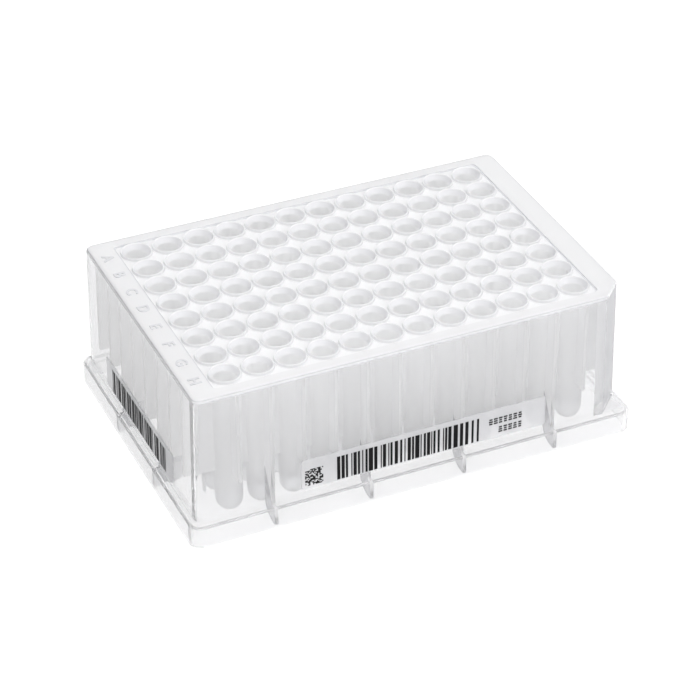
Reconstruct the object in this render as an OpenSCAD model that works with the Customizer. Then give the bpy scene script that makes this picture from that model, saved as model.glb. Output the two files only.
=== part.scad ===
// Deep-well plate, 96 round wells with U-shaped bottoms, moulded as one piece.
// X runs from column 1 to column 12, Y from row H to row A, Z up.
// The origin is the middle of the footprint, on the surface the plate rests on.

/* [Footprint] */
// Length of the footprint along the columns
base_l = 127.76; // [120:0.02:160]
// Width of the footprint along the rows
base_w = 85.48; // [80:0.02:105]
// Radius of the footprint's upright corners
base_corner_r = 3.2; // [2.4:0.1:4.5]
// Height of the flange around the foot
flange_h = 6.4; // [5:0.1:9]
// Thickness of the flange's upright wall and of its ledge
flange_t = 1.2; // [0.8:0.1:1.6]
// Bevel along the flange's upper edge
flange_bevel = 0.5; // [0.2:0.05:0.7]

/* [Body] */
// Overall height from the resting surface to the well rims
plate_h = 44; // [36:0.5:54]
// Width of the ledge between the flange's face and the foot of the body
ledge_w = 1.85; // [1.5:0.05:3]
// How far each body wall leans in between its foot and its top
body_draft = 0.6; // [0.1:0.1:1]
// Radius of the body's corners at their foot
body_corner_r = 3; // [2.5:0.1:4]
// Thickness of the body's walls
wall_t = 1.2; // [0.8:0.1:1.5]
// Thickness of the deck that closes the top between the wells
deck_t = 1.3; // [1:0.1:2]
// Radius of the rounding along the deck's outer edge
deck_edge_r = 0.9; // [0.4:0.05:1.2]
// Length of the orientation chamfer's legs, at the corner of column 12 and row H
chamfer_leg = 6.6; // [4:0.1:7.5]
// Thickness of the wall behind the chamfer
chamfer_wall_t = 2.5; // [1.2:0.1:3]

/* [Wells] */
// Number of columns, numbered from the left
columns = 12; // [4:1:12]
// Number of rows, lettered from the back
rows = 8; // [4:1:8]
// Distance between the axes of neighbouring wells
pitch = 9; // [8.8:0.05:9.2]
// Bore of a well just under its lead-in
well_mouth_d = 6.6; // [6.2:0.05:6.8]
// Bore of a well just above its rounded bottom
well_foot_d = 5.9; // [5.6:0.05:6.1]
// Outside of a well's tube just under the deck
tube_top_d = 8; // [7.8:0.05:8.2]
// Outside of a well's tube just above its rounded bottom
tube_foot_d = 7.3; // [7.1:0.05:7.5]
// Height of the tubes' lowest points above the resting surface
tube_clearance = 2.2; // [1:0.1:4]
// Wall left under the lowest point of a well
well_floor_t = 0.9; // [0.6:0.1:1.4]
// Height of the sealing rims above the deck's border
rim_h = 0.4; // [0.3:0.05:0.8]
// Outside of a sealing rim where it leaves the well field
rim_foot_d = 8.9; // [8.5:0.05:8.95]
// Outside of a sealing rim along its flat top
rim_top_d = 8.4; // [8.2:0.05:8.5]
// Width of the lead-in at the top of each well
lead_in_d = 7.9; // [7:0.05:8.1]
// Height of the lead-in, over which it narrows to the bore
lead_in_h = 1.7; // [0.5:0.1:2.5]

/* [Webs and gussets] */
// Thickness of the webs that tie the tubes to each other and to the walls
web_t = 0.9; // [0.7:0.05:1.2]
// Height of the webs' lower edges above the resting surface
web_foot_z = 15.3; // [12:0.1:20]
// Thickness of the gussets that run down into the flange
gusset_t = 1; // [0.7:0.05:1.4]
// A gusset stands on every third column and row, counted from this one
gusset_every = 3; // [2:1:4]
// First column that has a gusset
gusset_first_column = 2; // [1:1:3]
// First row that has a gusset
gusset_first_row = 3; // [1:1:4]
// Radius of each gusset's inner lower corner
gusset_corner_r = 5; // [2:0.1:5.5]
// Gap between a gusset's lower edge and the resting surface
gusset_lift = 0.4; // [0.2:0.1:1.5]

/* [Well field] */
// Distance from the rims of the outer wells to the edge of the well field
field_margin = 0.65; // [0.6:0.05:1]
// Depth of the well field below the deck's border
field_depth = 0.4; // [0.2:0.05:0.6]
// Radius of the well field's corners
field_corner_r = 1.6; // [1:0.1:3]
// Width of the groove along the field's edge
groove_w = 0.5; // [0.3:0.05:0.55]
// Depth of that groove below the field
groove_depth = 0.2; // [0.1:0.05:0.3]

/* [Labels] */
// Length of the label on the long wall in front of row H
front_label_l = 70.6; // [30:0.2:90]
// Distance of that label's middle from the middle of the wall, towards column 12
front_label_shift = 2.4; // [-8:0.1:8]
// Length of the label on the short wall beside column 1
side_label_l = 50; // [20:0.5:60]
// Width of both labels, up the wall
label_w = 9.2; // [6:0.1:14]
// Thickness of the label film
label_t = 0.12; // [0.08:0.01:0.3]
// Height of both labels' lower edges above the flange's ledge
label_rise = 1.9; // [1:0.1:6]
// Radius of the labels' corners
label_corner_r = 0.8; // [0.3:0.1:2]

/* [Hidden] */
$fn = 48;
over = 0.4;                                   // how far a cut or a joint runs past its neighbour
edge_steps = 3;                               // facets that round the deck's outer edge
deck_z = plate_h - rim_h;                     // top of the deck's border
deck_under_z = deck_z - deck_t;
field_z = deck_z - field_depth;               // top of the well field, which the rims stand on
body_h = deck_z - flange_h;
foot_l = base_l - 2 * ledge_w;                // the body where it stands on the flange
foot_w = base_w - 2 * ledge_w;
top_l = foot_l - 2 * body_draft;
top_w = foot_w - 2 * body_draft;
wall_lean = atan(body_draft / body_h);
chamfer_lean = atan(body_draft * sqrt(2) / body_h);
tube_foot_z = tube_clearance + tube_foot_d / 2;
well_foot_z = tube_clearance + well_floor_t + well_foot_d / 2;
field_l = (columns - 1) * pitch + rim_foot_d + 2 * field_margin;
field_w = (rows - 1) * pitch + rim_foot_d + 2 * field_margin;

function column_x(c) = (c - (columns + 1) / 2) * pitch;
function row_y(r) = ((rows + 1) / 2 - r) * pitch;
// The wells that a run of gussets stands on, from first to last and evenly spread
function gusset_stops(first, count) = [for (i = [first : gusset_every : count + 1 - first]) i];

// ---- outlines and blocks -------------------------------------------------

// A rectangle with round corners, centred
module rounded_rect(l, w, r) {
    square([l - 2 * r, w], center = true);
    square([l, w - 2 * r], center = true);
    for (x = [-1, 1], y = [-1, 1])
        translate([x * (l / 2 - r), y * (w / 2 - r)]) circle(r);
}

// A slab whose two long faces lean in by the draft on each side
module leaning_slab(length, width, draft, h) {
    rotate([90, 0, 0])
        linear_extrude(width, center = true)
            polygon([[-length / 2, 0], [length / 2, 0], [length / 2 - draft, h], [draft - length / 2, h]]);
}

// A rectangular block with round corners that tapers by the draft on every side
module drafted_block(l, w, h, r, draft) {
    leaning_slab(l, w - 2 * r, draft, h);
    rotate([0, 0, 90]) leaning_slab(w, l - 2 * r, draft, h);
    for (x = [-1, 1], y = [-1, 1])
        translate([x * (l / 2 - r), y * (w / 2 - r), 0])
            cylinder(h, r, r - draft);
}

// All that lies outside the chamfer at column 12 and row H, inset by its wall or by nothing
module beyond_chamfer(inset) {
    reach = foot_l + foot_w;
    edge = (foot_l / 2 + foot_w / 2 - chamfer_leg) / sqrt(2) - inset;
    translate([0, 0, flange_h])
        rotate([0, 0, -45])
            translate([edge, 0, 0])
                rotate([0, -chamfer_lean, 0])
                    translate([0, -reach / 2, -plate_h])
                        cube([reach, reach, 3 * plate_h]);
}

// ---- the moulded plate ---------------------------------------------------

module flange() {
    linear_extrude(flange_h - flange_bevel) rounded_rect(base_l, base_w, base_corner_r);
    translate([0, 0, flange_h - flange_bevel])
        drafted_block(base_l, base_w, flange_bevel, base_corner_r, flange_bevel);
}

// One facet of the rounding along the deck's edge, between two angles of its arc
module edge_facet(low, high, start_inset) {
    inset = start_inset + deck_edge_r * (1 - cos(low));
    translate([0, 0, deck_edge_r * sin(low)])
        drafted_block(foot_l - 2 * inset, foot_w - 2 * inset, deck_edge_r * (sin(high) - sin(low)),
                      body_corner_r - inset, deck_edge_r * (cos(low) - cos(high)));
}

// The tapering body, rounded along its top edge and chamfered at one corner
module body_shell() {
    lower_h = body_h - deck_edge_r;
    lower_draft = body_draft * lower_h / body_h;
    difference() {
        translate([0, 0, flange_h]) {
            drafted_block(foot_l, foot_w, lower_h, body_corner_r, lower_draft);
            translate([0, 0, lower_h])
                for (i = [1 : edge_steps])
                    edge_facet(90 * (i - 1) / edge_steps, 90 * i / edge_steps, lower_draft);
        }
        beyond_chamfer(0);
    }
}

// The hollow inside the walls and the wider hollow inside the flange
module under_space() {
    inner_h = deck_under_z - flange_h;
    inner_draft = body_draft * inner_h / body_h;
    difference() {
        translate([0, 0, flange_h])
            drafted_block(foot_l - 2 * wall_t, foot_w - 2 * wall_t, inner_h,
                          body_corner_r - wall_t, inner_draft);
        beyond_chamfer(chamfer_wall_t);
    }
    difference() {
        linear_extrude(flange_h + over)
            rounded_rect(foot_l - 2 * wall_t, foot_w - 2 * wall_t, body_corner_r - wall_t);
        beyond_chamfer(chamfer_wall_t);
    }
    translate([0, 0, -over])
        linear_extrude(flange_h - flange_t + over)
            rounded_rect(base_l - 2 * flange_t, base_w - 2 * flange_t, base_corner_r - flange_t);
}

// The outside of one well: tube, round bottom and sealing rim
module tube() {
    rotate_extrude() {
        polygon([[0, tube_foot_z], [tube_foot_d / 2, tube_foot_z], [tube_top_d / 2, deck_under_z],
                 [tube_top_d / 2, field_z - over], [rim_foot_d / 2, field_z], [rim_top_d / 2, plate_h],
                 [0, plate_h]]);
        translate([0, tube_foot_z])
            intersection() {
                circle(tube_foot_d / 2);
                translate([0, -tube_foot_d]) square([tube_foot_d, tube_foot_d]);
            }
    }
}

// The inside of one well, widening to its lead-in at the top
module well() {
    rotate_extrude() {
        polygon([[0, well_foot_z], [well_foot_d / 2, well_foot_z], [well_mouth_d / 2, plate_h - lead_in_h],
                 [lead_in_d / 2, plate_h], [lead_in_d / 2, plate_h + over], [0, plate_h + over]]);
        translate([0, well_foot_z])
            intersection() {
                circle(well_foot_d / 2);
                translate([0, -well_foot_d]) square([well_foot_d, well_foot_d]);
            }
    }
}

module at_wells() {
    for (c = [1 : columns], r = [1 : rows])
        translate([column_x(c), row_y(r), 0]) children();
}

// Upright webs along every column and every row, from wall to wall
module webs() {
    h = deck_under_z + over - web_foot_z;
    for (c = [1 : columns])
        translate([column_x(c) - web_t / 2, -(top_w - wall_t) / 2, web_foot_z])
            cube([web_t, top_w - wall_t, h]);
    for (r = [1 : rows])
        translate([-(top_l - wall_t) / 2, row_y(r) - web_t / 2, web_foot_z])
            cube([top_l - wall_t, web_t, h]);
}

// One gusset seen from its side: x runs out from a tube's axis to the flange's wall
module gusset_profile(axis_to_wall, axis_to_flange) {
    inner = tube_foot_d / 2 - over / 2;
    difference() {
        union() {
            translate([0, gusset_lift]) square([axis_to_wall, web_foot_z + over - gusset_lift]);
            translate([0, gusset_lift])
                square([axis_to_flange, flange_h - flange_t + over - gusset_lift]);
        }
        difference() {
            square([inner + gusset_corner_r, gusset_lift + gusset_corner_r]);
            translate([inner + gusset_corner_r, gusset_lift + gusset_corner_r])
                circle(gusset_corner_r);
        }
    }
}

module gusset(axis_to_wall, axis_to_flange) {
    rotate([90, 0, 0])
        linear_extrude(gusset_t, center = true)
            gusset_profile(axis_to_wall, axis_to_flange);
}

module gussets() {
    x_axis = column_x(columns);
    y_axis = row_y(1);
    for (r = gusset_stops(gusset_first_row, rows), side = [0, 180])
        rotate([0, 0, side])
            translate([x_axis, row_y(r), 0])
                gusset((top_l - wall_t) / 2 - x_axis, (base_l - flange_t) / 2 - x_axis);
    for (c = gusset_stops(gusset_first_column, columns), side = [0, 180])
        rotate([0, 0, side])
            translate([column_x(c), y_axis, 0])
                rotate([0, 0, 90])
                    gusset((top_w - wall_t) / 2 - y_axis, (base_w - flange_t) / 2 - y_axis);
}

// The space above the sunk well field, with the groove along the field's edge
module field_space() {
    floor_z = field_z - groove_depth;
    difference() {
        translate([0, 0, floor_z])
            linear_extrude(plate_h - floor_z) rounded_rect(field_l, field_w, field_corner_r);
        translate([0, 0, floor_z - over])
            linear_extrude(groove_depth + over)
                rounded_rect(field_l - 2 * groove_w, field_w - 2 * groove_w, field_corner_r - groove_w);
    }
}

module plate() {
    color("whitesmoke", 0.6)
        difference() {
            union() {
                difference() {
                    union() {
                        flange();
                        body_shell();
                    }
                    under_space();
                    field_space();
                }
                webs();
                gussets();
                at_wells() tube();
            }
            at_wells() well();
        }
}

// ---- labels --------------------------------------------------------------

// A film lying on a wall: drawn flat, stood up and leaned with the wall
module label_film(l) {
    rotate([90 - wall_lean, 0, 0])
        linear_extrude(label_t)
            translate([0, label_w / 2]) rounded_rect(l, label_w, label_corner_r);
}

module front_label() {
    color("gainsboro", 0.7)
        translate([front_label_shift, -foot_w / 2, flange_h])
            translate([0, body_draft * label_rise / body_h, label_rise])
                label_film(front_label_l);
}

module side_label() {
    color("gainsboro", 0.7)
        translate([-foot_l / 2, 0, flange_h])
            translate([body_draft * label_rise / body_h, 0, label_rise])
                rotate([0, 0, -90]) label_film(side_label_l);
}

plate();
front_label();
side_label();
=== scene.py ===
"""Looks of a deep-well plate: a moulding in natural polypropylene, two printed films, raised letters."""

import logging
import math
from collections.abc import Sequence
from dataclasses import dataclass
from enum import Enum, IntEnum

import bmesh
import bpy
import numpy as np
from mathutils import Matrix, Vector


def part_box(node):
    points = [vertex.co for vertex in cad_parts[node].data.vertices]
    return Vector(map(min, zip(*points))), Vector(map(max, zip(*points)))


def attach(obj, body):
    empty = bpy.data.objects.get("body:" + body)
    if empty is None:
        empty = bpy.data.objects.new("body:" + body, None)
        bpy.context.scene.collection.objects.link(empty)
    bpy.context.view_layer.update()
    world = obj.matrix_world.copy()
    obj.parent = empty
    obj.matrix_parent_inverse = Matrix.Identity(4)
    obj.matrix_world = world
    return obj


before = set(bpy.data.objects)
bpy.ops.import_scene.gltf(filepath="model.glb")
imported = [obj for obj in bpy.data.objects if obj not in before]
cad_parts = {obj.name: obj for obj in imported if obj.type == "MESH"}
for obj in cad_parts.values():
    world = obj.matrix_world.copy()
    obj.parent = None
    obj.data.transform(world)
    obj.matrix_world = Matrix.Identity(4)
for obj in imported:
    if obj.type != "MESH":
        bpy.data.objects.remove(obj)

MM = 0.001
NOISE = (0.3, 0.7)  # most values of a noise texture lie between these
STRAIGHT = 0.99     # a face whose unit normal has more than this along an axis looks straight along it
TOWARDS = 0.5       # with more than this, the face looks within 60 degrees of the axis
LOG = logging.getLogger("well_plate")
Grid = np.ndarray


# ---- colours and nodes ---------------------------------------------------


def linear(hex_colour: str) -> tuple[float, float, float, float]:
    """Turns an sRGB hex colour to the linear values that shaders work in.

    Args:
        hex_colour: Six hex digits after a hash sign.

    Returns:
        Red, green, blue and an alpha of one.
    """
    channels = [int(hex_colour[i : i + 2], 16) / 255 for i in (1, 3, 5)]
    low_or_curve = [c / 12.92 if c <= 0.04045 else ((c + 0.055) / 1.055) ** 2.4 for c in channels]
    return (low_or_curve[0], low_or_curve[1], low_or_curve[2], 1.0)


def add(
    tree: bpy.types.NodeTree,
    kind: str,
    settings: dict[str, object] | None = None,
    **inputs: object,
) -> bpy.types.Node:
    """Adds a node, sets its properties, and fills or links its inputs.

    Args:
        tree: The node tree that gets the node.
        kind: The node's type, without the leading ShaderNode.
        settings: Properties of the node, such as its operation.
        **inputs: Values or output sockets, keyed by input name with underscores
            for spaces, or by i0, i1 and so on for an input's place.

    Returns:
        The new node.
    """
    node = tree.nodes.new("ShaderNode" + kind)
    for name, value in (settings or {}).items():
        setattr(node, name, value)
    for name, value in inputs.items():
        by_place = name[0] == "i" and name[1:].isdigit()
        socket = node.inputs[int(name[1:])] if by_place else node.inputs[name.replace("_", " ")]
        if isinstance(value, bpy.types.NodeSocket):
            tree.links.new(value, socket)
        else:
            socket.default_value = value
    return node


def ramp(
    tree: bpy.types.NodeTree,
    factor: bpy.types.NodeSocket,
    stops: Sequence[tuple[float, str]],
) -> bpy.types.NodeSocket:
    """Adds a colour ramp and returns its colour.

    Args:
        tree: The node tree that gets the ramp.
        factor: The socket that drives it.
        stops: Places from 0 to 1 with sRGB hex colours, in rising order.

    Returns:
        The ramp's colour output.
    """
    node = add(tree, "ValToRGB", Fac=factor)
    elements = node.color_ramp.elements
    while len(elements) < len(stops):
        elements.new(0.5)
    for element, (place, colour) in zip(elements, stops):
        element.position = place
        element.color = linear(colour)
    return node.outputs["Color"]


def scale_range(
    tree: bpy.types.NodeTree,
    value: bpy.types.NodeSocket,
    source: tuple[float, float],
    target: tuple[float, float],
    smooth: bool = False,
) -> bpy.types.NodeSocket:
    """Maps a value from one range to another, clamped.

    Args:
        tree: The node tree that gets the node.
        value: The socket to map.
        source: The range the value comes in.
        target: The range it goes out in.
        smooth: Whether the change eases in and out.

    Returns:
        The mapped value's socket.
    """
    kind = "SMOOTHSTEP" if smooth else "LINEAR"
    node = add(
        tree, "MapRange", {"interpolation_type": kind, "clamp": True},
        i0=value, i1=source[0], i2=source[1], i3=target[0], i4=target[1],
    )
    return node.outputs[0]


def new_material(name: str) -> tuple[bpy.types.Material, bpy.types.NodeTree, bpy.types.NodeSocket]:
    """Makes an empty node material.

    Args:
        name: What the real material is and how it was made.

    Returns:
        The material, its node tree, and the Surface input of its output node.
    """
    material = bpy.data.materials.new(name)
    material.use_nodes = True
    material.node_tree.nodes.clear()
    output = add(material.node_tree, "OutputMaterial")
    return material, material.node_tree, output.inputs["Surface"]


# ---- finishes ------------------------------------------------------------


@dataclass(frozen=True)
class Haze:
    """How a stretch of plastic treats light, as shares from 0 to 1.

    Attributes:
        clear: The share of its skin that bends light as glass does. The rest is matt.
        glow: The share of the light that soaks through and leaves scattered on the far side.
    """

    clear: float
    glow: float


@dataclass(frozen=True)
class NaturalPolypropylene:
    """Unpigmented polypropylene as it leaves the mould.

    The crystals in the plastic scatter light, so a thin polished wall looks nearly clear, a ribbed one
    looks milky, and the thick deck looks white. The melt leaves faint flow marks, long up a wall and
    short across it.
    """

    name: str
    tint: str
    shade: str
    foot: Haze     # near the resting surface
    wall: Haze     # from the ribs up
    edge: Haze     # round the deck's outer edge
    deck: Haze     # in the deck and above it
    roughness: float  # in the middle of its swing
    # Colours by height in the deck and its edge; the finishes below use them for painted shade and
    # highlight bands.
    slab: tuple[tuple[float, str], ...] = ((42.0, "#FFFFFF"), (44.0, "#FFFFFF"))  # colours by height in mm
    slab_span: tuple[float, float] = (42.0, 44.0)  # heights in mm that those colours run between
    foot_tint: str = "#FDFDFE"     # colour near the resting surface
    cloud_size: float = 2.6        # width of a cloud in the colour, in flow marks
    ior: float = 1.49              # how strongly the solid plastic bends light
    gloss_swing: tuple[float, float] = (0.8, 1.25)  # least and most roughness, as shares of roughness
    flow_mark: float = 9 * MM      # width of one flow mark across a wall
    flow_squash: float = 0.22      # a mark's width over its length up the wall
    flow_depth: float = 0.02 * MM  # how far the marks lift the surface
    flow_relief: float = 0.35      # share of that lift that the light follows
    foot_span: tuple[float, float] = (4 * MM, 15 * MM)   # heights between which foot turns to wall
    deck_half: tuple[float, float] = (60.2 * MM, 39.0 * MM)  # the deck's half sides inside the walls
    deck_under: float = 42.3 * MM  # height of the deck's underside, where the deck finish starts
    deck_blend: float = 0.15 * MM  # height over which the change to it takes place
    side_blend: float = 0.15 * MM  # the same from the half sides outwards
    edge_low: float = 42.7 * MM    # height where the rounding of the deck's edge starts
    edge_blend: float = 0.1 * MM   # half the height over which the change to its finish takes place
    deck_top: float = 43.5 * MM    # height of the rounding's last facet, just under the top face
    top_blend: float = 0.05 * MM   # height over which the change to the top face's finish takes place

    def deck_mask(self, tree: bpy.types.NodeTree, place: bpy.types.NodeSocket) -> bpy.types.NodeSocket:
        """Makes a mask that is 1 in the deck's slab inside the walls and on its top face, and 0 elsewhere.

        It is the greater of two: inside both half sides and above the deck's underside, or on the top.

        Args:
            tree: The material's node tree.
            place: Object coordinates.

        Returns:
            The mask's socket.
        """
        axes = add(tree, "SeparateXYZ", i0=place).outputs
        underside = (self.deck_under - self.deck_blend, self.deck_under)
        mask = scale_range(tree, axes["Z"], underside, (0.0, 1.0))
        for axis, half in zip("XY", self.deck_half):
            away = add(tree, "Math", {"operation": "ABSOLUTE"}, i0=axes[axis]).outputs[0]
            inside = scale_range(tree, away, (half, half + self.side_blend), (1.0, 0.0))
            mask = add(tree, "Math", {"operation": "MULTIPLY"}, i0=mask, i1=inside).outputs[0]
        top = scale_range(tree, axes["Z"], (self.deck_top - self.top_blend, self.deck_top), (0.0, 1.0))
        return add(tree, "Math", {"operation": "MAXIMUM"}, i0=mask, i1=top).outputs[0]

    def make(self) -> bpy.types.Material:
        """Builds the material: a skin that bends light, blended with a share that scatters it through.

        The shares change with height and at the deck, from foot to wall to edge to deck. The colour is a
        slow cloud of tint and shade in the walls, and in the deck and its edge, colours by height that
        paint shade and highlight bands.

        Returns:
            A material whose colour, gloss, bump and haze follow Object coordinates.
        """
        material, tree, surface = new_material(self.name)
        place = add(tree, "TexCoord").outputs["Object"]
        stretched = add(tree, "Mapping", Vector=place, Scale=(1, 1, self.flow_squash)).outputs[0]
        flow = add(
            tree, "TexNoise", Vector=stretched, Scale=1 / self.flow_mark, Detail=3.0, Roughness=0.5,
        )
        cloud_size = self.cloud_size * self.flow_mark
        cloud = add(tree, "TexNoise", Vector=place, Scale=1 / cloud_size, Detail=2.0)
        deck = self.deck_mask(tree, place)
        height = add(tree, "SeparateXYZ", i0=place).outputs["Z"]
        wall = scale_range(tree, height, self.foot_span, (0.0, 1.0), smooth=True)
        rounding = (self.edge_low - self.edge_blend, self.edge_low + self.edge_blend)
        edge = scale_range(tree, height, rounding, (0.0, 1.0))
        clear, glow = self.foot.clear, self.foot.glow
        for mask, haze in ((wall, self.wall), (edge, self.edge), (deck, self.deck)):
            clear = scale_range(tree, mask, (0.0, 1.0), (clear, haze.clear))
            glow = scale_range(tree, mask, (0.0, 1.0), (glow, haze.glow))
        thin = ramp(tree, cloud.outputs["Fac"], [(NOISE[0], self.shade), (NOISE[1], self.tint)])
        low, high = self.slab_span
        level = scale_range(tree, height, (low * MM, high * MM), (0.0, 1.0))
        # In the deck and its edge the colour goes by height: these bands are painted shade and painted
        # highlight.
        thick = ramp(tree, level, [((at - low) / (high - low), colour) for at, colour in self.slab])
        foot_tint = linear(self.foot_tint)
        thin = add(tree, "Mix", {"data_type": "RGBA"}, i0=wall, i6=foot_tint, i7=thin).outputs[2]
        slabs_too = add(tree, "Math", {"operation": "MAXIMUM"}, i0=deck, i1=edge).outputs[0]
        colour = add(tree, "Mix", {"data_type": "RGBA"}, i0=slabs_too, i6=thin, i7=thick).outputs[2]
        least, most = self.gloss_swing
        gloss = scale_range(
            tree, flow.outputs["Fac"], NOISE, (self.roughness * least, self.roughness * most),
        )
        bump = add(
            tree, "Bump", Strength=self.flow_relief, Distance=self.flow_depth, Height=flow.outputs["Fac"],
        )
        skin = add(
            tree, "BsdfPrincipled", Base_Color=colour, Roughness=gloss, Normal=bump.outputs[0],
            IOR=self.ior, Transmission_Weight=clear,
        )
        soaked = add(tree, "BsdfTranslucent", Color=colour, Normal=bump.outputs[0])
        mixed = add(tree, "MixShader", i0=glow, i1=skin.outputs[0], i2=soaked.outputs[0])
        tree.links.new(mixed.outputs[0], surface)
        return material


@dataclass(frozen=True)
class LabelFilm:
    """Matt polyester film with a clear adhesive, which lets some of what lies under it show through."""

    name: str = "polyester label film, matt"
    tint: str = "#D8D8DA"
    shade: str = "#D2D2D5"
    grain: float = 0.35 * MM  # of the matt coat, whose own is too fine to show and is drawn this coarse
    cover: float = 0.4        # share of what lies under the film that it hides
    gloss: tuple[float, float] = (0.4, 0.55)  # least and most roughness

    def make(self) -> bpy.types.Material:
        """Builds the material.

        Returns:
            A film that is partly see-through, with a fine mottle in its coat.
        """
        material, tree, surface = new_material(self.name)
        place = add(tree, "TexCoord").outputs["Object"]
        mottle = add(tree, "TexNoise", Vector=place, Scale=1 / self.grain, Detail=2.0)
        colour = ramp(tree, mottle.outputs["Fac"], [(NOISE[0], self.shade), (NOISE[1], self.tint)])
        gloss = scale_range(tree, mottle.outputs["Fac"], NOISE, self.gloss)
        coat = add(tree, "BsdfPrincipled", Base_Color=colour, Roughness=gloss, IOR=1.5, Alpha=self.cover)
        tree.links.new(coat.outputs[0], surface)
        return material


@dataclass(frozen=True)
class TransferInk:
    """Black resin ink laid down by a thermal-transfer printer: dense, and slightly uneven in its gloss."""

    name: str = "thermal-transfer ink, black"
    deep: str = "#060607"
    pale: str = "#121214"
    pale_from: float = 0.75   # value of the noise from which the ink is at its palest
    speck: float = 0.25 * MM  # two of the printer's heating points, because one is too fine to show
    gloss: tuple[float, float] = (0.45, 0.7)  # least and most roughness

    def make(self) -> bpy.types.Material:
        """Builds the material.

        Returns:
            A near-black ink whose tone and gloss vary from point to point.
        """
        material, tree, surface = new_material(self.name)
        place = add(tree, "TexCoord").outputs["Object"]
        points = add(tree, "TexNoise", Vector=place, Scale=1 / self.speck, Detail=1.0)
        colour = ramp(tree, points.outputs["Fac"], [(NOISE[0], self.deep), (self.pale_from, self.pale)])
        gloss = scale_range(tree, points.outputs["Fac"], NOISE, self.gloss)
        shader = add(
            tree, "BsdfPrincipled", Base_Color=colour, Roughness=gloss, IOR=1.5, Specular_IOR_Level=0.1,
        )
        tree.links.new(shader.outputs[0], surface)
        return material


# ---- meshes --------------------------------------------------------------


def mesh_piece(name: str, points: Grid, faces: Grid, material: bpy.types.Material) -> bpy.types.Object:
    """Makes an object at the origin from arrays, with its place in its mesh.

    Args:
        name: The piece's name.
        points: Vertices in metres, one row each.
        faces: Corner numbers, one row a face.
        material: What it is made of.

    Returns:
        The object, linked to the scene.
    """
    mesh = bpy.data.meshes.new(name)
    mesh.from_pydata(points.tolist(), [], faces.tolist())
    mesh.materials.append(material)
    mesh.validate()
    mesh.update()
    piece = bpy.data.objects.new(name, mesh)
    bpy.context.scene.collection.objects.link(piece)
    return piece


def slabs(rects: Grid, thickness: float) -> tuple[Grid, Grid]:
    """Closed flat boxes over many rectangles at once.

    Each box has the rectangle's four corners at height 0 and the same four at the thickness, so a corner
    is the rectangle's low or high u, its low or high v, and 0 or the thickness.

    Args:
        rects: Low u, low v, high u and high v of each rectangle, in metres.
        thickness: Height of every box.

    Returns:
        Vertices as u, v and height, and quad faces that point outwards.
    """
    u = rects[:, [0, 2, 2, 0, 0, 2, 2, 0]]
    v = rects[:, [1, 1, 3, 3, 1, 1, 3, 3]]
    w = np.broadcast_to(np.repeat([0.0, thickness], 4), u.shape)
    points = np.stack([u, v, w], axis=2).reshape(-1, 3)
    ends = [[3, 2, 1, 0], [4, 5, 6, 7]]
    sides = [[0, 1, 5, 4], [1, 2, 6, 5], [2, 3, 7, 6], [3, 0, 4, 7]]
    faces = (np.array(ends + sides)[None] + 8 * np.arange(len(rects))[:, None, None]).reshape(-1, 4)
    return points, faces


# ---- the moulded plate ---------------------------------------------------


LETTER = Haze(0.05, 0.1)  # the letters are solid, so little light crosses them


class Slot(IntEnum):
    """The material slots of the plate's mesh, in their order."""

    CLEAR = 0
    MILKY = 1
    THICK = 2
    BORE = 3


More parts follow.
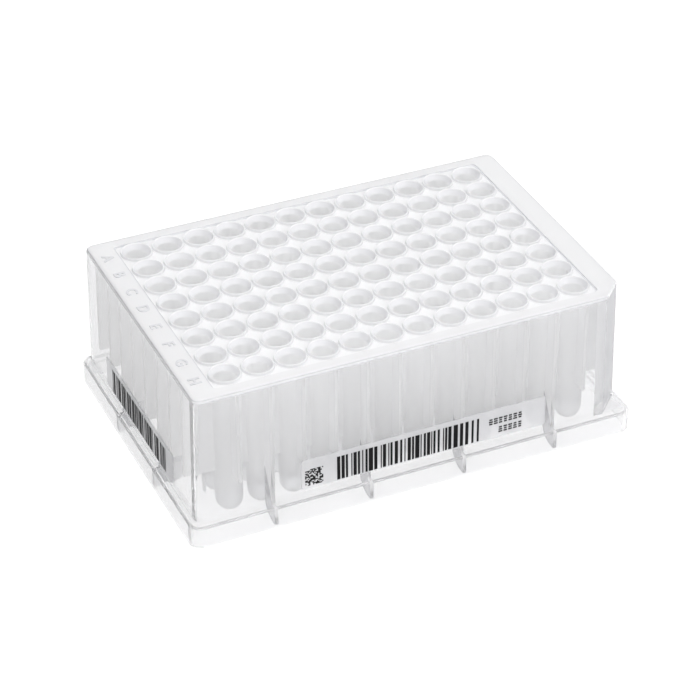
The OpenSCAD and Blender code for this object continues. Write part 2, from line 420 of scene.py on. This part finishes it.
@dataclass
class PlateMoulding:
    """The one-piece moulding. Its shape is the CAD node's; this class says which finish each face reads."""

    pitch: float = 9 * MM
    columns: int = 12
    rows: int = 8
    well_reach: float = 4.45 * MM  # faces nearer than this to a well's axis belong to that well
    bore_reach: float = 3.97 * MM  # the same for its inside, out to the top of the lead-in
    bore_low: float = 4 * MM       # height above which an inward face belongs to a bore
    bore_turn: float = 0.2         # least part of an inward face's unit normal that points to the axis
    crest: float = 0.4 * MM        # how far the rims stand above the deck's border
    field_high: float = 43.3 * MM  # height just above the sunk field
    slab_slack: float = 0.1 * MM   # a level face this little below the deck's underside is still the deck's
    foot_low: float = 1 * MM       # height above which a face inside the walls belongs to a tube or web
    chamfer_span: tuple[float, float] = (6.5 * MM, 42.5 * MM)  # heights of the cut corner's face
    chamfer_out: float = 94.8 * MM                             # least x less y on that face
    gusset_out: tuple[float, float] = (62.6 * MM, 41.45 * MM)  # half sides that the gussets lie within
    gusset_in: tuple[float, float] = (54 * MM, 36 * MM)        # half sides that they lie beyond
    gusset_span: tuple[float, float] = (0.2 * MM, 10 * MM)     # heights of the gussets' sides

    # Polished faces of the outer walls, the flange and the deck: nearly clear, but white in the thick deck.
    clear: NaturalPolypropylene = NaturalPolypropylene(
        "natural polypropylene, moulded walls", "#FCFCFD", "#FAFAFB",
        foot=Haze(0.89, 0.12), wall=Haze(0.92, 0.08), edge=Haze(0.68, 0.18), deck=Haze(0.12, 0.36),
        roughness=0.07, flow_depth=0.003 * MM, foot_span=(6 * MM, 9 * MM),
        # Colours by height: the grey bands on the rounding of the deck's edge and the faint grey of its
        # border are painted shade, and the near-white band between them a painted highlight.
        slab=(
            (42.60, "#FFFFFF"), (42.66, "#EEEEF1"), (43.08, "#EEEEF1"), (43.14, "#FCFCFD"),
            (43.24, "#FCFCFD"), (43.28, "#E6E6E9"), (43.52, "#E6E6E9"), (43.58, "#F5F5F6"),
        ),
    )
    # Spark-eroded faces of the tubes, webs and rims: milky down to the tubes' clear round ends.
    milky: NaturalPolypropylene = NaturalPolypropylene(
        "natural polypropylene, moulded tubes", "#FFFFFF", "#FFFFFF",
        foot=Haze(0.97, 0.1), wall=Haze(0.15, 0.45), edge=Haze(0.3, 0.4), deck=Haze(0.3, 0.4),
        roughness=0.36, foot_span=(7 * MM, 12 * MM), deck_blend=4 * MM,
        # Colours by height: the grey on the rims' sides is painted shade, and the lighter crest a painted
        # highlight.
        slab=((43.30, "#FFFFFF"), (43.40, "#EFEFF0"), (43.78, "#EFEFF0"), (43.88, "#FAFAFB")),
    )
    # Inside faces of the wells, shaped by fine-turned core pins: bright, as light soaks through the tube.
    bore: NaturalPolypropylene = NaturalPolypropylene(
        "natural polypropylene, moulded bores", "#FFFFFF", "#FFFFFF",
        foot=Haze(0.97, 0.03), wall=Haze(0.1, 0.85), edge=Haze(0.12, 0.35), deck=Haze(0.12, 0.35),
        roughness=0.36, foot_span=(7 * MM, 12 * MM),
        # Colours by height: the grey that deepens up the bore's top and lead-in is painted shade, and the
        # lighter crest a painted highlight.
        slab=((42.30, "#F9F9FA"), (42.50, "#F2F2F4"), (43.74, "#EFEFF1"), (43.86, "#FAFAFB")),
    )
    # The cut corner's thick wall and the gussets: their grey colour is painted shade, darkening faces that
    # the room's light leaves bright.
    thick: NaturalPolypropylene = NaturalPolypropylene(
        "natural polypropylene, corner and gussets, painted shade", "#CECED1", "#C6C6CA",
        foot=Haze(0.85, 0.12), wall=Haze(0.5, 0.3), edge=Haze(0.5, 0.3), deck=Haze(0.5, 0.3),
        roughness=0.2, foot_tint="#CECED1",
    )
    # The raised letters stand out as a slightly greyer top with darker sides; the sides' darkness is
    # painted shade.
    raised: NaturalPolypropylene = NaturalPolypropylene(
        "natural polypropylene, tops of letters", "#EEEEF0", "#ECECEE",
        foot=LETTER, wall=LETTER, edge=LETTER, deck=LETTER,
        roughness=0.2, slab=((43.0, "#E3E3E6"), (43.8, "#E3E3E6")),
    )
    raised_side_shaded: NaturalPolypropylene = NaturalPolypropylene(
        "natural polypropylene, sides of letters, painted shade", "#C4C4C8", "#C0C0C4",
        foot=LETTER, wall=LETTER, edge=LETTER, deck=LETTER,
        roughness=0.2, slab=((43.0, "#D4D4D8"), (43.8, "#D4D4D8")),
    )

    def well_faces(self, mesh: bpy.types.Mesh) -> Grid:
        """Finds the faces of tubes, bores, rims and webs, and gives each face its slot among these.

        A face belongs to a well where its middle lies within reach of the nearest well's axis: the
        distance from the middle to the nearest multiple of the pitch, counted from the first column and
        row. It belongs to a web where it lies inside the walls, below the deck. It belongs to a bore where
        it is nearer than the bore's reach and looks towards the axis: the product of its unit normal and
        the unit way to the axis is over the bore's turn.

        Args:
            mesh: The plate's mesh.

        Returns:
            The clear, milky or bore slot of each face.
        """
        corners = np.empty(len(mesh.loops), np.int32)
        mesh.loops.foreach_get("vertex_index", corners)
        points = np.empty(len(mesh.vertices) * 3, np.float32)
        mesh.vertices.foreach_get("co", points)
        middles = points.reshape(-1, 3)[corners].reshape(-1, 3, 3).mean(axis=1)
        normals = np.empty(len(mesh.polygons) * 3, np.float32)
        mesh.polygons.foreach_get("normal", normals)
        level = np.abs(normals.reshape(-1, 3)[:, 2]) > STRAIGHT
        deck_under = self.clear.deck_under
        slab = level & (middles[:, 2] > deck_under - self.slab_slack) & (middles[:, 2] < self.field_high)
        spans = np.array([self.columns - 1, self.rows - 1]) / 2
        steps = middles[:, :2] / self.pitch
        nearest = np.clip(np.rint(steps + spans), 0, 2 * spans) - spans
        reach = np.linalg.norm(steps - nearest, axis=1) * self.pitch
        half_x, half_y = self.clear.deck_half
        inside = (np.abs(middles[:, 0]) < half_x) & (np.abs(middles[:, 1]) < half_y)
        below = (middles[:, 2] > self.foot_low) & (middles[:, 2] < deck_under)
        wells = ((reach < self.well_reach) & ~slab) | (inside & below)
        towards = (nearest - steps) * self.pitch / np.maximum(reach, 1e-6)[:, None]
        inward = (towards * normals.reshape(-1, 3)[:, :2]).sum(axis=1)
        near = (reach < self.bore_reach) & (middles[:, 2] > self.bore_low)
        bores = near & (inward > self.bore_turn)
        return np.where(bores, Slot.BORE, np.where(wells, Slot.MILKY, Slot.CLEAR)).astype(np.int32)

    def painted_shade_faces(self, mesh: bpy.types.Mesh) -> Grid:
        """Finds the outer face of the cut corner and the sides of the gussets.

        The corner's face looks between +X and -Y, beyond a line on which x less y is constant. A gusset's
        side is upright, looks along its wall, and lies low down between two rectangles round the middle.

        Args:
            mesh: The plate's mesh.

        Returns:
            True for each such face.
        """
        middles, normals = (np.empty(len(mesh.polygons) * 3, np.float32) for _ in range(2))
        mesh.polygons.foreach_get("center", middles)
        mesh.polygons.foreach_get("normal", normals)
        middles, normals = middles.reshape(-1, 3), normals.reshape(-1, 3)
        slanted = (normals[:, 0] > TOWARDS) & (normals[:, 1] < -TOWARDS)
        on_wall = (middles[:, 2] > self.chamfer_span[0]) & (middles[:, 2] < self.chamfer_span[1])
        corner = slanted & on_wall & (middles[:, 0] - middles[:, 1] > self.chamfer_out)
        away = np.abs(middles[:, :2])
        within = (away < self.gusset_out).all(axis=1)
        low = (middles[:, 2] > self.gusset_span[0]) & (middles[:, 2] < self.gusset_span[1])
        beyond = away > self.gusset_in
        short = away < self.gusset_in
        facing = np.abs(normals[:, :2]) > STRAIGHT
        gusset = (beyond[:, ::-1] & short & facing).any(axis=1)
        return corner | (within & low & gusset)

    def dress(self, plate: bpy.types.Object) -> None:
        """Puts the four finishes into the plate's material slots and picks each face's.

        Args:
            plate: The CAD node's object.
        """
        mesh = plate.data
        mesh.materials.clear()
        finishes = {
            Slot.CLEAR: self.clear, Slot.MILKY: self.milky, Slot.THICK: self.thick, Slot.BORE: self.bore,
        }
        for slot in Slot:
            mesh.materials.append(finishes[slot].make())
        # The corner's face and the gussets' sides get the grey finish, which is painted shade.
        slots = np.where(self.painted_shade_faces(mesh), Slot.THICK, self.well_faces(mesh)).astype(np.int32)
        mesh.polygons.foreach_set("material_index", slots)
        mesh.update()
        counts = ", ".join(f"{slot.name.lower()} {int((slots == slot).sum())}" for slot in Slot)
        LOG.info("plate: %d faces: %s", len(slots), counts)


@dataclass
class RowLetters:
    """Raised letters beside column 1, one a row, read with the plate turned a quarter."""

    letters: str = "ABCDEFGH"
    pitch: float = 9 * MM
    middle_x: float = -57.5 * MM
    size: float = 3.1 * MM     # height of a capital as it is read, with its swell
    cap_share: float = 0.73    # the same as a share of the font's size
    height: float = 0.22 * MM  # from a letter's underside to its top
    sink: float = 0.02 * MM    # how deep its underside lies in the deck
    swell: float = 0.09 * MM   # how much wider each stroke is than the font's, on either side
    curve_steps: int = 4       # straight lines in each stretch of a curved outline
    weld: float = 0.004 * MM   # points nearer to one another than this are merged

    def letter_mesh(self, letter: str) -> bpy.types.Mesh:
        """Turns one letter of the built-in font to a closed mesh with its doubles merged.

        Args:
            letter: The letter.

        Returns:
            Its mesh, lying flat with its height up.
        """
        text = bpy.data.curves.new("letter", "FONT")
        text.body = letter
        text.size = self.size / self.cap_share
        text.extrude = self.height / 2
        text.resolution_u = self.curve_steps
        text.offset = self.swell
        holder = bpy.data.objects.new("letter", text)
        bpy.context.scene.collection.objects.link(holder)
        depsgraph = bpy.context.evaluated_depsgraph_get()
        mesh = bpy.data.meshes.new_from_object(holder.evaluated_get(depsgraph))
        bpy.data.objects.remove(holder)
        mesh.name = f"row_letter_{letter}"
        work = bmesh.new()
        work.from_mesh(mesh)
        bmesh.ops.remove_doubles(work, verts=work.verts, dist=self.weld)
        bmesh.ops.recalc_face_normals(work, faces=work.faces)
        work.to_mesh(mesh)
        work.free()
        return mesh

    def place(self, mesh: bpy.types.Mesh, row: int, deck_z: float) -> None:
        """Carries a letter to its row.

        A letter's right points to -Y and its top to +X, which is a quarter turn clockwise seen from above.
        Its own box's middle goes to the row's middle, half its height above the deck less what it sinks in.

        Args:
            mesh: The letter's mesh, whose points move.
            row: The row's number from the back.
            deck_z: Height of the deck it stands on.
        """
        points = np.empty(len(mesh.vertices) * 3, np.float32)
        mesh.vertices.foreach_get("co", points)
        points = points.reshape(-1, 3)
        middle = Vector((points.min(axis=0) + points.max(axis=0)) / 2)
        row_y = ((len(self.letters) - 1) / 2 - row) * self.pitch
        there = Vector((self.middle_x, row_y, deck_z + self.height / 2 - self.sink))
        quarter = Matrix(((0, 1, 0), (-1, 0, 0), (0, 0, 1))).to_4x4()
        mesh.transform(Matrix.Translation(there) @ quarter @ Matrix.Translation(-middle))

    def build(
        self, deck_z: float, tops: NaturalPolypropylene, sides: NaturalPolypropylene,
    ) -> list[bpy.types.Object]:
        """Makes the letters as pieces that ride on the plate.

        A face is a side unless it looks within 60 degrees of straight up or down.

        Args:
            deck_z: Height of the deck they stand on.
            tops: The finish of their tops.
            sides: The finish of their sides, darkened as painted shade.

        Returns:
            The eight pieces.
        """
        materials = (tops.make(), sides.make())
        pieces = []
        for row, letter in enumerate(self.letters):
            mesh = self.letter_mesh(letter)
            self.place(mesh, row, deck_z)
            mesh.materials.clear()
            for material in materials:
                mesh.materials.append(material)
            normals = np.empty(len(mesh.polygons) * 3, np.float32)
            mesh.polygons.foreach_get("normal", normals)
            upright = np.abs(normals.reshape(-1, 3)[:, 2]) < TOWARDS
            mesh.polygons.foreach_set("material_index", upright.astype(np.int32))
            mesh.update()
            piece = bpy.data.objects.new(f"row_letter_{letter}", mesh)
            bpy.context.scene.collection.objects.link(piece)
            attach(piece, "root")
            pieces.append(piece)
        LOG.info("row letters: %d pieces", len(pieces))
        return pieces


# ---- labels --------------------------------------------------------------


class Wall(Enum):
    """The walls that carry a label, as the direction in which their print reads."""

    FRONT = (1.0, 0.0, 0.0)
    SIDE = (0.0, -1.0, 0.0)


@dataclass
class Label:
    """A film on a wall and its print, which means nothing.

    The print is upright bars, and on the long film a square of cells and two rows of strokes too. Bar
    widths, cells and strokes come from a seeded random rule. A place in it is u along the wall from the
    film's middle and v up the wall from the film's foot.
    """

    node: str
    wall: Wall
    seed: int
    bars: tuple[float, float, float, float]            # low u, low v, high u and high v
    cells: tuple[float, float, float] | None = None    # low u and low v of the square, and its side
    strokes: tuple[float, float, float] | None = None  # low u and low v of the rows, and their length
    module: float = 0.31 * MM    # narrowest bar
    bar_odds: tuple[float, ...] = (0.3, 0.26, 0.27, 0.17)  # of one, two, three and four modules
    gap_odds: tuple[float, ...] = (0.6, 0.28, 0.12)        # of one, two and three modules
    cell_count: int = 14         # cells along the square's side
    cell_share: float = 0.6      # share of them that are inked
    cell_grow: float = 1.0005    # a cell's side over its step, so that no gap shows between two
    row_counts: tuple[int, int] = (5, 7)  # stacks in the lower and the upper row of strokes
    row_step: float = 2.95 * MM  # from one row to the next
    dashes: int = 3              # in a stack
    dash_step: float = 0.7 * MM  # from one dash of a stack to the next
    dash_h: float = 0.46 * MM    # height of a dash
    dash_half: tuple[float, float] = (0.28, 0.42)  # least and most half length, in pitches of the stacks
    ink: float = 0.02 * MM       # thickness of the print
    lean: float = math.atan(0.6 / 37.2)  # the walls lean in by 0.6 mm over a height of 37.2 mm

    def bar_rects(self, rng: np.random.Generator) -> Grid:
        """Lays upright bars of one to four modules, with gaps of one to three, until the length is full.

        A bar starts at the running sum of all widths before it.

        Args:
            rng: The seeded source of widths.

        Returns:
            One rectangle a bar.
        """
        left, low, right, high = self.bars
        count = int((right - left) / self.module)
        widths = rng.choice([1, 2, 3, 4], size=2 * count, p=self.bar_odds)
        widths[1::2] = rng.choice([1, 2, 3], size=count, p=self.gap_odds)
        ends = np.cumsum(widths)
        starts = ends - widths
        black = (np.arange(2 * count) % 2 == 0) & (ends <= count)
        starts, ends = starts[black] * self.module + left, ends[black] * self.module + left
        feet, tops = np.full_like(starts, low), np.full_like(starts, high)
        return np.stack([starts, feet, ends, tops], axis=1)

    def cell_rects(self, rng: np.random.Generator) -> Grid:
        """Lays a square of small cells, each inked by the toss of a coin.

        Cell m, n of the square starts m steps along and n steps up from its low corner.

        Args:
            rng: The seeded coin.

        Returns:
            One rectangle an inked cell.
        """
        left, low, side = self.cells
        step = side / self.cell_count
        inked = np.argwhere(rng.random((self.cell_count, self.cell_count)) < self.cell_share)
        corner = inked * step + (left, low)
        return np.concatenate([corner, corner + step * self.cell_grow], axis=1)

    def stroke_rects(self, rng: np.random.Generator) -> Grid:
        """Lays two rows of small stacks of short dashes, where a real label has its running number.

        Stack k of a row stands k and a half pitches from the row's start, and a shorter row ends where the
        longer one does. The dashes of a stack are centred on it, one above another.

        Args:
            rng: The seeded source of the dashes' lengths.

        Returns:
            One rectangle a dash.
        """
        left, low, length = self.strokes
        most = max(self.row_counts)
        pitch = length / most
        rows = []
        for row, count in enumerate(self.row_counts):
            stacks = np.repeat(left + (most - count + np.arange(count) + 0.5) * pitch, self.dashes)
            feet = low + row * self.row_step + np.tile(np.arange(self.dashes), count) * self.dash_step
            half = rng.uniform(*self.dash_half, size=self.dashes * count) * pitch
            rows.append(np.stack([stacks - half, feet, stacks + half, feet + self.dash_h], axis=1))
        return np.concatenate(rows)

    def on_wall(self, points: Grid) -> Grid:
        """Carries flat print to the film's outer face.

        A point is the foot of the film's outer face at its middle, plus u along the wall, plus v up the
        leaning wall, plus w outwards. The up direction is (sine of the lean inwards, cosine of it up).

        Args:
            points: Rows of u, v and w in metres.

        Returns:
            Rows of x, y and z in metres.
        """
        low, high = (np.array(corner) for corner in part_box(self.node))
        along = np.array(self.wall.value)
        outward_flat = np.array([along[1], -along[0], 0.0])
        up = np.array([0, 0, math.cos(self.lean)]) - outward_flat * math.sin(self.lean)
        outward = outward_flat * math.cos(self.lean) + np.array([0, 0, math.sin(self.lean)])
        middle = (low + high) / 2
        size = high - low
        thick = abs(size @ outward_flat) - size[2] * math.tan(self.lean)
        foot = middle + outward_flat * (abs(size @ outward_flat) / 2)
        foot[2] = low[2] + max(thick, 0.0) * math.sin(self.lean)
        return foot + points[:, :1] * along + points[:, 1:2] * up + points[:, 2:] * outward

    def build(self, film: bpy.types.Material, ink: bpy.types.Material) -> bpy.types.Object:
        """Dresses the film's CAD node and adds its print as one piece.

        Args:
            film: The film's material.
            ink: The print's material.

        Returns:
            The print.
        """
        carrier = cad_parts[self.node]
        carrier.data.materials.clear()
        carrier.data.materials.append(film)
        rng = np.random.default_rng(self.seed)
        rects = [self.bar_rects(rng)]
        if self.cells:
            rects.append(self.cell_rects(rng))
        if self.strokes:
            rects.append(self.stroke_rects(rng))
        points, faces = slabs(np.concatenate(rects), self.ink)
        piece = mesh_piece(self.node + "_print", self.on_wall(points), faces, ink)
        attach(piece, "root")
        LOG.info("%s: %d printed shapes", self.node, len(faces) // 6)
        return piece


# ---- studio --------------------------------------------------------------


@dataclass
class Studio:
    """A pale floor that glows like a light table, a soft pale room, and the camera."""

    floor_half: float = 4.0
    board: tuple[str, str] = ("#8E8E8E", "#929292")  # the floor's shade and tint
    tooth: float = 2.5 * MM   # grain of the board
    low: float = 0.64         # brightness of the room at eye level
    high: float = 0.85        # brightness straight overhead
    front: float = 1.60       # what the pale wall in front adds
    left: float = 0.05        # share of the light that comes from low down at the far left
    overhead: float = 1.15    # share that comes from high up on any side
    front_span: tuple[float, float] = (0.2, -0.9)  # y of the directions between which front comes in
    left_span: tuple[float, float] = (-0.9, 0.25)  # x of those between which left gives way to 1
    overhead_span: tuple[float, float] = (0.3, 0.7)  # z of those between which overhead comes in
    floor_glow: float = 0.83  # strength of the floor's own light
    camera_at: tuple[float, float, float] = (-0.2382, -0.5256, 0.4100)
    camera_along: tuple[float, float, float] = (0.3409, 0.7534, -0.5624)
    lens: float = 132.0
    shift: tuple[float, float] = (-0.0018, -0.0005)

    def floor(self) -> None:
        """Lays the floor: a matt white board with the faintest tooth."""
        material, tree, surface = new_material("matt white board")
        place = add(tree, "TexCoord").outputs["Object"]
        tooth = add(tree, "TexNoise", Vector=place, Scale=1 / self.tooth, Detail=2.0)
        colour = ramp(tree, tooth.outputs["Fac"], list(zip(NOISE, self.board)))
        board = add(tree, "BsdfDiffuse", Color=colour, Roughness=0.6)
        panel = add(tree, "Emission", Color=linear("#FFFFFF"), Strength=self.floor_glow)
        both = add(tree, "AddShader", i0=board.outputs[0], i1=panel.outputs[0])
        tree.links.new(both.outputs[0], surface)
        h = self.floor_half
        points = np.array([[-h, -h, 0], [h, -h, 0], [h, h, 0], [-h, h, 0]])
        mesh_piece("floor", points, np.array([[0, 1, 2, 3]]), material)

    def surroundings(self) -> None:
        """Lights the room softly: pale overhead and in front, and dim low down at the left.

        The brightness is (low to high by how far up a direction points, plus front by how far it points to
        -Y) times the greater of two shares: from left to 1 by how far it points to +X, and from 0 to
        overhead by how far up.
        """
        world = bpy.data.worlds.new("studio")
        bpy.context.scene.world = world
        world.use_nodes = True
        tree = world.node_tree
        tree.nodes.clear()
        way = add(tree, "SeparateXYZ", i0=add(tree, "TexCoord").outputs["Generated"])
        up = scale_range(tree, way.outputs["Z"], (0.0, 1.0), (self.low, self.high), smooth=True)
        front = scale_range(tree, way.outputs["Y"], self.front_span, (0.0, self.front), smooth=True)
        across = scale_range(tree, way.outputs["X"], self.left_span, (self.left, 1.0), smooth=True)
        above = scale_range(tree, way.outputs["Z"], self.overhead_span, (0.0, self.overhead), smooth=True)
        across = add(tree, "Math", {"operation": "MAXIMUM"}, i0=across, i1=above).outputs[0]
        both = add(tree, "Math", {"operation": "ADD"}, i0=up, i1=front)
        level = add(tree, "Math", {"operation": "MULTIPLY"}, i0=both.outputs[0], i1=across)
        sky = add(tree, "Background", Color=linear("#FFFFFF"), Strength=level.outputs[0])
        output = add(tree, "OutputWorld", Surface=sky.outputs[0])
        output.is_active_output = True

    def camera(self) -> None:
        """Stands the camera so that its right stays level."""
        lens = bpy.data.cameras.new("camera")
        lens.sensor_width = 36.0
        lens.lens = self.lens
        lens.shift_x, lens.shift_y = self.shift
        lens.clip_start, lens.clip_end = 0.01, 50.0
        holder = bpy.data.objects.new("camera", lens)
        bpy.context.scene.collection.objects.link(holder)
        holder.matrix_world = Matrix.Translation(self.camera_at) @ (
            Vector(self.camera_along).to_track_quat("-Z", "Y").to_matrix().to_4x4()
        )
        bpy.context.scene.camera = holder

    def build(self) -> None:
        """Sets out the floor, the light and the camera, with plain screen colours.

        Light crosses dozens of walls in the plate, so it is followed through many bounces.
        """
        scene = bpy.context.scene
        scene.view_settings.view_transform = "Standard"
        scene.cycles.max_bounces, scene.cycles.transmission_bounces = 96, 64
        scene.cycles.diffuse_bounces, scene.cycles.glossy_bounces = 48, 32
        self.floor()
        self.surroundings()
        self.camera()
        LOG.info("studio ready")


def main() -> None:
    """Builds the looks in order."""
    logging.basicConfig(level=logging.INFO, format="%(name)s: %(message)s")
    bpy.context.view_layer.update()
    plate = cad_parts["plate"]
    moulding = PlateMoulding()
    moulding.dress(plate)
    RowLetters().build(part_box("plate")[1].z - moulding.crest, moulding.raised, moulding.raised_side_shaded)
    film, ink = LabelFilm().make(), TransferInk().make()
    Label(
        "front_label", Wall.FRONT, 7, bars=(-25.3 * MM, 0.35 * MM, 15.9 * MM, 7.6 * MM),
        cells=(-34.3 * MM, 0.9 * MM, 5.1 * MM), strokes=(18.4 * MM, 1.5 * MM, 10.1 * MM),
    ).build(film, ink)
    Label(
        "side_label", Wall.SIDE, 11, bars=(-20.3 * MM, 0.35 * MM, 21.6 * MM, 7.6 * MM),
        module=0.42 * MM,
    ).build(film, ink)
    Studio().build()


if __name__ == "__main__":
    main()
